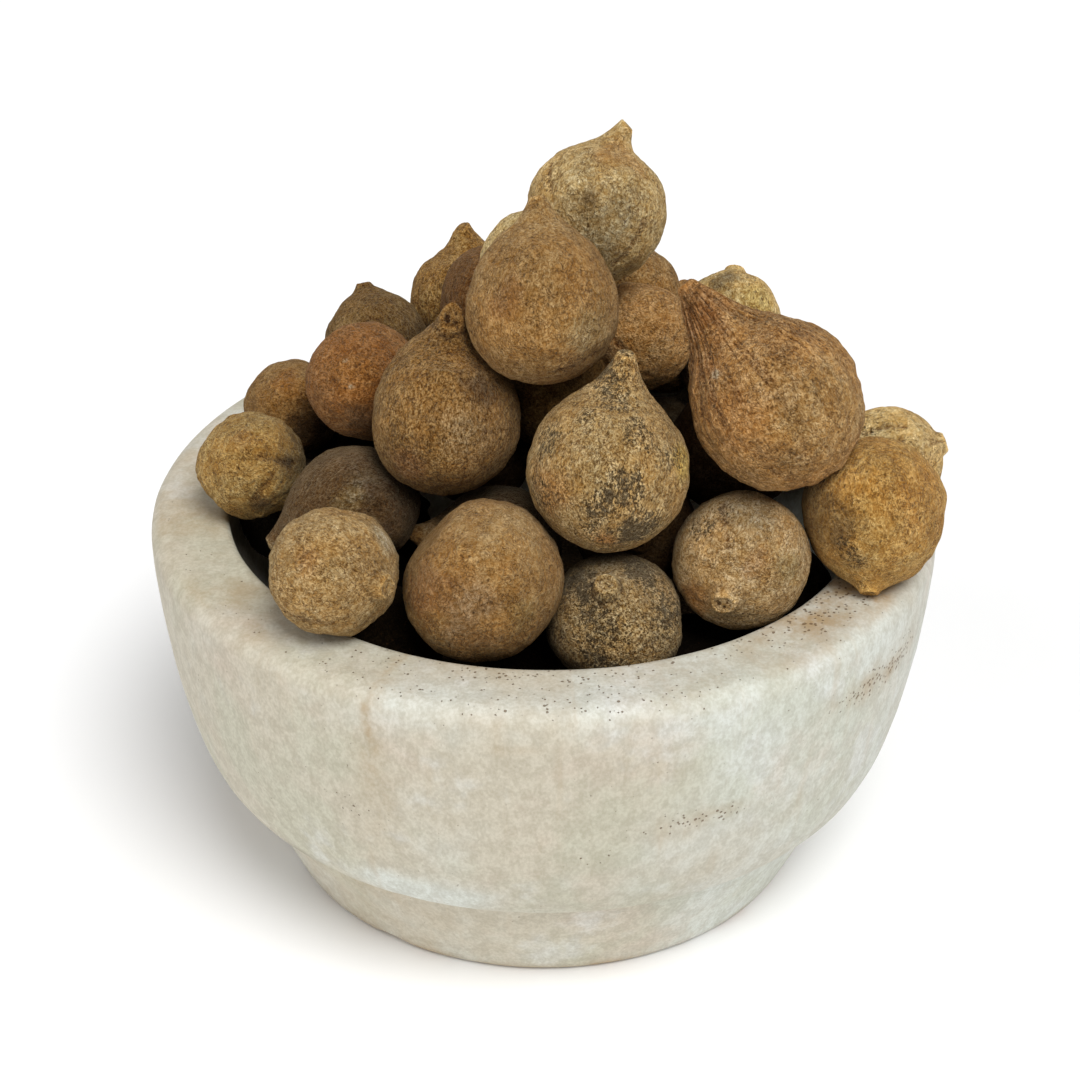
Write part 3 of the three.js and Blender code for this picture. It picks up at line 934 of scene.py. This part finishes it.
def beige_and_painted_light(at):
    """More to the left, and down the front, partly as painted shade; less in a painted highlight
    above the lip at the left, and on the foot's right
    """
    total = 0.5 - at.points[:, 0] / (2 * RIM_RADIUS)
    # down the front: partly the marble's colour, partly painted shade where the light falls full
    total += 0.5 * bell(at.turn, -92, 24) * ramp(72, 60, at.height)
    # less in a painted highlight above the lip at the left
    total -= 0.9 * spot(at.turn, at.height, (-111, 30), (17, 4.5))
    return total - 0.5 * at.foot * ramp(10, 45, at.points[:, 0])


def bowl_marks(points, inner):
    """Where the marble is stained, dirty and pitted, and how beige it is"""
    out = np.hypot(points[:, 0], points[:, 1])
    turn = np.degrees(np.arctan2(points[:, 1], points[:, 0]))
    height = points[:, 2]
    side = 1 - inner
    top = ramp(BOWL_HEIGHT - 1.5, BOWL_HEIGHT - 0.2, height) * side
    foot = ramp(GROOVE_HEIGHT + 0.4, GROOVE_HEIGHT - 0.2, height) * side
    at = Spread(points, out, turn, height, inner, side, top, foot)
    return {"stain_and_shade": stains_and_shade(at), "dirt_and_shade": dirt_and_shade(at), "pits": pits(at), "beige_and_painted_light": beige_and_painted_light(at)}


def bowl_piece(material):
    profile = bowl_profile()
    rings, sides = len(profile), BOWL_COLUMNS
    out = np.repeat(profile[:, 0], sides)
    height = np.repeat(profile[:, 1], sides)
    turn = np.tile(2 * math.pi * np.arange(sides) / sides, rings)
    highest = int(np.argmax(profile[:, 1] * (profile[:, 0] > MOUTH_RADIUS)))
    inner = (np.repeat(np.arange(rings), sides) > highest) & (out < MOUTH_RADIUS + 0.3)
    points = hand_worked(about_axis(out, turn, height), out, height)
    ends = np.array([[0, 0, 0], [0, 0, HOLLOW_FLOOR]], float)
    points = np.concatenate([ends[:1], points, ends[1:]])
    inner = np.concatenate([[False], inner, [True]]).astype(float)
    values = bowl_marks(points, inner)
    about = np.arctan2(points[:, 1], points[:, 0])
    values["around"] = np.stack([about * RIM_RADIUS, points[:, 2], 0 * about], 1)
    return mesh_piece("marble_bowl", points, polar_faces(rings, sides)[:, ::-1], values, material)


def hand_worked(points, out, height):
    """The turned shape as it was ground by hand and has worn since"""
    side = ramp(0.2, 1.5, height) * ramp(0, 30, out)
    wave = 0.30 * noise(points, 45, 31) + 0.12 * noise(points, 14, 32) + 0.05 * noise(points, 4, 33)
    lip = bell(height, GROOVE_HEIGHT + 0.6, 1)
    chips = -0.5 * lip * ramp(0.25, 0.7, noise(points, 5, 34))
    foot = bell(height, 0, 1.4)
    chips -= 0.9 * foot * ramp(0.15, 0.7, noise(points, 6, 35))
    outward = points * np.array([1, 1, 0]) / np.maximum(1, out)[:, None]
    moved = points + outward * (side * wave + chips)[:, None]
    moved[:, 2] += 0.12 * noise(points, 18, 36) * ramp(60, 74, height)
    return moved


# Materials


def new_material(name):
    material = bpy.data.materials.new(name)
    material.use_nodes = True
    material.node_tree.nodes.clear()
    return material


def add(tree, kind, values=None, **settings):
    """A node with its settings. Each value is put on an input, or linked if it is an output."""
    node = tree.nodes.new("ShaderNode" + kind)
    for key, value in settings.items():
        setattr(node, key, value)
    for key, value in (values or {}).items():
        if isinstance(value, bpy.types.NodeSocket):
            tree.links.new(value, node.inputs[key])
        else:
            node.inputs[key].default_value = value
    return node


def read(tree, name, output="Fac"):
    return add(tree, "Attribute", attribute_name=name).outputs[output]


def grained(tree, place, scale, detail=2, roughness=0.5, twist=0):
    values = {"Vector": place, "Scale": scale, "Detail": detail, "Roughness": roughness}
    return add(tree, "TexNoise", {**values, "Distortion": twist}).outputs["Fac"]


def ranged(tree, value, low, high, to_low=0, to_high=1):
    values = {"Value": value, "From Min": low, "From Max": high}
    values |= {"To Min": to_low, "To Max": to_high}
    return add(tree, "MapRange", values, interpolation_type="SMOOTHSTEP").outputs["Result"]


def computed(tree, kind, *values):
    return add(tree, "Math", dict(enumerate(values)), operation=kind).outputs[0]


def weighed(tree, *parts):
    """The sum of the values, each times its weight"""
    total = 0.0
    for value, weight in parts:
        total = computed(tree, "MULTIPLY_ADD", value, weight, total)
    return total


def lines(tree, pattern, width):
    """1 along the wandering lines where a pattern has its middle value, fading out beside them"""
    apart = computed(tree, "ABSOLUTE", computed(tree, "SUBTRACT", pattern, 0.5))
    return ranged(tree, apart, width, 0)


def mixed(tree, share, first, second, blend="MIX"):
    """Two colours mixed, each a socket or linear red, green and blue"""
    colours = [c if isinstance(c, bpy.types.NodeSocket) else (*c, 1) for c in (first, second)]
    values = {0: share, 6: colours[0], 7: colours[1]}
    return add(tree, "Mix", values, data_type="RGBA", blend_type=blend).outputs[2]


def tinted(tree, colour, share, full, none=(1, 1, 1)):
    """The colour times a tint, which goes from none to full with the share"""
    return mixed(tree, 1, colour, mixed(tree, share, none, full), "MULTIPLY")


def covered(tree, colour, share, most, paint):
    """The colour under a paint given as seen, covered at most so far where the share is 1"""
    return mixed(tree, computed(tree, "MULTIPLY", share, most), colour, from_srgb(paint))


def finish_surface(tree, colour, roughness, height, distance, fixed):
    bump = add(tree, "Bump", {"Height": height, "Distance": distance * MM, "Strength": 1.0})
    values = {"Base Color": colour, "Roughness": roughness, "Normal": bump.outputs[0], **fixed}
    surface = add(tree, "BsdfPrincipled", values)
    add(tree, "OutputMaterial", {"Surface": surface.outputs[0]})


def clouded(tree, tone, place, coarse):
    """The tone with light and dark clouds, warmer and cooler ones, and lumps"""
    cloud = ranged(tree, grained(tree, place, 0.24, 5, 0.66), 0.36, 0.64)
    colour = tinted(tree, tone, cloud, (1.09, 1.13, 1.18), (0.88, 0.84, 0.74))
    warmth = ranged(tree, grained(tree, place, 0.15, 3, 0.6), 0.38, 0.62)
    colour = tinted(tree, colour, warmth, (0.98, 0.985, 0.98), (1.03, 0.965, 0.86))
    lumps = ranged(tree, coarse, 0.36, 0.64)
    return tinted(tree, colour, lumps, (1.11, 1.16, 1.26), (0.84, 0.77, 0.64))


def sooted(tree, colour, place, relief, soot):
    """Soot in ragged patches, thicker where the mesh says, and worn off the crests of the grain"""
    ragged = ranged(tree, grained(tree, place, 1, 6, 0.8), 0.25, 0.75, -1, 1)
    hollow = ranged(tree, relief, 0.34, 0.66, 0.6, -0.6)
    settled = weighed(tree, (ragged, 1), (hollow, 1), (soot, 1.5))
    black = computed(tree, "MULTIPLY", ranged(tree, settled, 0.75, 1.9), 0.84)
    thin, thick = from_srgb(BURNT)
    return mixed(tree, black, colour, mixed(tree, ranged(tree, soot, 0.1, 0.5), thin, thick))


def speckled(tree, colour, relief, soot):
    """The grain's own light and dark, redder in its hollows, and stronger on a sooty skin"""
    crest = ranged(tree, relief, 0.36, 0.64)
    speckle = tinted(tree, colour, crest, (1.6, 1.82, 2.28), (0.38, 0.28, 0.11))
    more = ranged(tree, soot, 0.1, 0.6, 0, 0.25)
    more = computed(tree, "ADD", read(tree, "grit"), more)
    return mixed(tree, more, colour, speckle)


def scarred(tree, colour, worms):
    """Painted shade in the valleys between the folds, and the stalk's pale ring with dark pits and
    painted shadow in the cracks about it
    """
    broken = ranged(tree, worms, 0.35, 0.6, 1, 0.45)
    # painted shade in the valleys between the folds and in the creases
    valley = ranged(tree, read(tree, "fold"), 0.12, 0.75)
    valley = computed(tree, "MULTIPLY", valley, broken)
    colour = tinted(tree, colour, valley, (0.36, 0.27, 0.22))
    scar = read(tree, "scar")
    colour = tinted(tree, colour, ranged(tree, scar, 0.2, 0.95), (1.32, 1.3, 1.22))
    # dark pits, and painted shadow in the cracks inside and outside the stalk's rim
    return tinted(tree, colour, ranged(tree, scar, -0.15, -0.8), (0.26, 0.2, 0.15))


def skin_material(name, sheen):
    """Velvety dried skin: wormy grain, soot, wrinkles, dark specks, pale threads and flecks"""
    material = new_material(name)
    tree = material.node_tree
    grain = read(tree, "grain", "Vector")
    place = add(tree, "Mapping", {"Vector": grain, "Scale": (1, 1, 0.62)}).outputs[0]
    soot = read(tree, "soot")
    coarse = grained(tree, grain, 0.8, 2, 0.5, 0.6)
    worms = grained(tree, place, 2.2, 3, 0.62, 0.6)
    fine = grained(tree, place, 4.4, 2, 0.6)
    relief = weighed(tree, (worms, 0.65), (fine, 0.35))
    # the tone is the skin colour with painted shade in it
    colour = clouded(tree, read(tree, "tone", "Color"), place, coarse)
    colour = sooted(tree, colour, place, relief, soot)
    colour = speckled(tree, colour, relief, soot)

    patchy = ranged(tree, grained(tree, grain, 0.3, 2), 0.36, 0.56)
    wrinkles = lines(tree, grained(tree, grain, 0.95, 2.5, 0.55, 0.8), 0.04)
    wrinkles = computed(tree, "MULTIPLY", wrinkles, patchy)
    colour = tinted(tree, colour, wrinkles, (0.46, 0.38, 0.31))
    cells = add(tree, "TexVoronoi", {"Vector": place, "Scale": 1.0}).outputs["Distance"]
    where = ranged(tree, grained(tree, place, 0.45, 2), 0.46, 0.64)
    where = computed(tree, "MAXIMUM", where, ranged(tree, soot, 0.1, 0.5))
    specks = computed(tree, "MULTIPLY", ranged(tree, cells, 0.28, 0.14), where)
    colour = covered(tree, colour, specks, 0.62, SPECK)

    threads = lines(tree, grained(tree, grain, 1.5, 1.5, 0.5, 0.7), 0.035)
    threads = computed(tree, "MULTIPLY", threads, ranged(tree, fine, 0.42, 0.56))
    colour = tinted(tree, colour, threads, (1.3, 1.38, 1.56))
    flecks = ranged(tree, grained(tree, place, 2.6, 1), 0.6, 0.7)
    colour = tinted(tree, colour, flecks, (1.22, 1.3, 1.46))
    colour = scarred(tree, colour, worms)

    raised = [(relief, 1), (coarse, 1.1), (threads, 0.12)]
    height = weighed(tree, *raised, (wrinkles, -0.2), (specks, -0.25))
    fixed = {
        "Specular IOR Level": 0.08,
        "Sheen Weight": sheen,
        "Sheen Roughness": 0.25,
        "Sheen Tint": (0.95, 0.76, 0.48, 1),
    }
    finish_surface(tree, colour, 0.9, height, 0.9, fixed)
    return material


def marble_material():
    """Honed pale marble: soft clouds, pale grains, faint streaks, stained and dirty spots and pits,
    and the painted shade and highlight that the mesh's marks carry
    """
    material = new_material("marble")
    tree = material.node_tree
    place = add(tree, "TexCoord").outputs["Object"]
    drift = grained(tree, place, 26, 4, 0.6)
    drift = weighed(tree, (read(tree, "beige_and_painted_light"), 0.35), (drift, 1))
    plain = from_srgb(MARBLE["pale"])
    colour = covered(tree, plain, ranged(tree, drift, 0.5, 0.85), 1, MARBLE["beige_and_painted_light"])
    for scale, roughness, span, most, seen in CLOUDS:
        cloud = ranged(tree, grained(tree, place, scale, 4, roughness), *span)
        colour = covered(tree, colour, cloud, most, seen)
    upright = add(tree, "Mapping", {"Vector": place, "Scale": (1, 1, 0.72)}).outputs[0]
    grains = ranged(tree, grained(tree, upright, 400, 4, 0.6), 0.42, 0.57)
    colour = tinted(tree, colour, grains, (1.05, 1.05, 1.05), (0.93, 0.92, 0.9))
    fine = grained(tree, upright, 1700, 2, 0.6)
    dust = ranged(tree, fine, 0.36, 0.64)
    colour = tinted(tree, colour, dust, (1.05, 1.05, 1.06), (0.92, 0.91, 0.89))

    around = read(tree, "around", "Vector")
    stretched = add(tree, "Mapping", {"Vector": around, "Scale": (0.22, 0.035, 1)}).outputs[0]
    streaks = ranged(tree, grained(tree, stretched, 1, 4, 0.6), 0.55, 0.78)
    colour = covered(tree, colour, streaks, 0.3, MARBLE["streak"])
    ragged = ranged(tree, grained(tree, place, 160, 4, 0.7), 0.3, 0.65, 0.3, 1)
    uneven_cover = ranged(tree, fine, 0.2, 0.6, 0.5, 1)
    # the marks spread painted shade as well as stained and dirty places
    for mark, share in (("stain_and_shade", ragged), ("dirt_and_shade", uneven_cover)):
        colour = covered(tree, colour, read(tree, mark), share, MARBLE[mark])

    # round pits, wider and closer together where the mesh says
    cells = add(tree, "TexVoronoi", {"Vector": place, "Scale": 1100.0}).outputs["Distance"]
    patchy = grained(tree, place, 190, 3, 0.7)
    single = ranged(tree, grained(tree, place, 900, 2), 0.3, 0.7, -0.6, 0.6)
    where = weighed(tree, (read(tree, "pits"), 1), (patchy, 1), (single, 1))
    radius = ranged(tree, where, 0.55, 1.9, 0, 0.36)
    pitted = ranged(tree, computed(tree, "SUBTRACT", cells, radius), 0, -0.08)
    colour = covered(tree, colour, pitted, 0.75, MARBLE["pit"])
    height = weighed(tree, (fine, 0.12), (pitted, -1))
    finish_surface(tree, colour, 0.62, height, 0.3, {"Specular IOR Level": 0.4})
    return material


def floor_material():
    material = new_material("floor")
    tree = material.node_tree
    grain = grained(tree, add(tree, "TexCoord").outputs["Object"], 3)
    colour = mixed(tree, grain, (0.94, 0.94, 0.94), (0.96, 0.96, 0.96))
    finish_surface(tree, colour, 0.9, grain, 0.01, {})
    return material


# The scene


def place_camera():
    camera = placed("camera", bpy.data.cameras.new("camera"))
    camera.data.lens = CAMERA_LENS
    camera.data.sensor_width = CAMERA_SENSOR
    camera.data.clip_start = CAMERA_NEAR * MM
    camera.location = [MM * place for place in CAMERA_PLACE]
    camera.rotation_euler = (math.radians(90 - CAMERA_DOWN), 0, 0)
    bpy.context.scene.camera = camera


def place_light(name, source, spread, strength):
    """A wide soft light that falls alike on everything, from the side that source points to"""
    light = bpy.data.lights.new(name, "SUN")
    light.angle = math.radians(spread)
    light.energy = strength
    placed(name, light).rotation_euler = Vector(source).to_track_quat("Z", "Y").to_euler()


def place_surroundings():
    world = bpy.data.worlds.new("studio")
    world.use_nodes = True
    background = world.node_tree.nodes["Background"]
    background.inputs[0].default_value = (1, 1, 1, 1)
    background.inputs[1].default_value = SKY
    bpy.context.scene.world = world
    place_light("key", KEY_FROM, KEY_SPREAD, KEY_STRENGTH)
    place_light("fill", FILL_FROM, FILL_SPREAD, FILL_STRENGTH)
    half = FLOOR_SIZE / 2
    corners = np.array([[-half, -half, 0], [half, -half, 0], [half, half, 0], [-half, half, 0]])
    floor = mesh_piece("floor", corners, np.array([[0, 1, 2, 3]]), {}, floor_material())


def main():
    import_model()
    bpy.context.scene.view_settings.view_transform = "Standard"
    place_camera()
    place_surroundings()
    skin = skin_material("dried_skin", SHEEN)
    buried_skin = skin_material("buried_skin", 0.0)
    for piece in [*fruit_pieces(skin, buried_skin), core_piece(buried_skin)]:
        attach(piece, "root")
        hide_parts("heap")
    bowl = bowl_piece(marble_material())
    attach(bowl, "root")
    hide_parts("bowl")


main()
